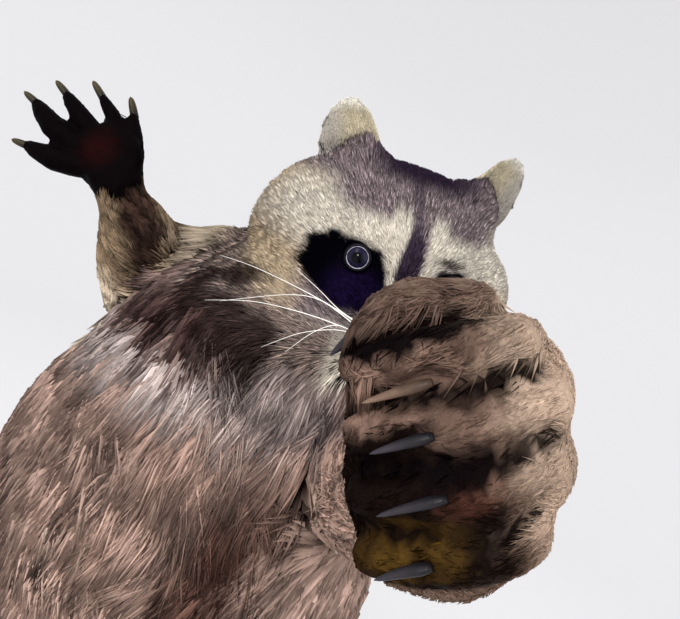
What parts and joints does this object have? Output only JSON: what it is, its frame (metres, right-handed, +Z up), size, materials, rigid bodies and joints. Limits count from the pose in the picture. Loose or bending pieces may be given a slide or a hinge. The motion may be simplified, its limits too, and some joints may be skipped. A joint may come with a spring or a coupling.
{
  "type": "raccoon",
  "caption": "Life-size raccoon sitting up on its haunches, one hand raised open, the other fist thrust forward.",
  "frame": {"origin": "on the floor, under the middle of the whole model's box", "axes": "+Z up, the raccoon looks along -Y, its own left is +X"},
  "size_m": [0.3558, 0.6016, 0.4833],
  "materials": {
    "fur": "long coarse coat, grey-brown with pale tips",
    "bare_skin": "bare black skin with a dull sheen",
    "claw_horn": "brown horn, smooth",
    "eye": "wet, dark brown",
    "nose_leather": "moist black leather"
  },
  "bodies": {
    "root": {"head": "fur", "neck": "fur", "trunk": "fur", "tail_base": "fur", "tail_middle": "fur", "tail_tip": "fur", "ear_left": "fur", "ear_right": "fur", "upper_arm_left": "fur", "upper_arm_right": "fur", "forearm_left": "fur", "forearm_right": "fur", "thigh_left": "fur", "thigh_right": "fur", "shank_left": "fur", "shank_right": "fur", "foot_left": "fur", "foot_right": "fur", "hand_left": "bare_skin", "hand_right": "bare_skin", "finger_left_1": "bare_skin", "finger_left_2": "bare_skin", "finger_left_3": "bare_skin", "finger_left_4": "bare_skin", "finger_left_5": "bare_skin", "finger_right_1": "bare_skin", "finger_right_2": "bare_skin", "finger_right_3": "bare_skin", "finger_right_4": "bare_skin", "finger_right_5": "bare_skin", "claw_left_1": "claw_horn", "claw_left_2": "claw_horn", "claw_left_3": "claw_horn", "claw_left_4": "claw_horn", "claw_left_5": "claw_horn", "claw_right_1": "claw_horn", "claw_right_2": "claw_horn", "claw_right_3": "claw_horn", "claw_right_4": "claw_horn", "claw_right_5": "claw_horn", "claw_foot_left_1": "claw_horn", "claw_foot_left_2": "claw_horn", "claw_foot_left_3": "claw_horn", "claw_foot_left_4": "claw_horn", "claw_foot_left_5": "claw_horn", "claw_foot_right_1": "claw_horn", "claw_foot_right_2": "claw_horn", "claw_foot_right_3": "claw_horn", "claw_foot_right_4": "claw_horn", "claw_foot_right_5": "claw_horn", "eye_left": "eye", "eye_right": "eye", "nose": "nose_leather"}
  },
  "joints": []
}
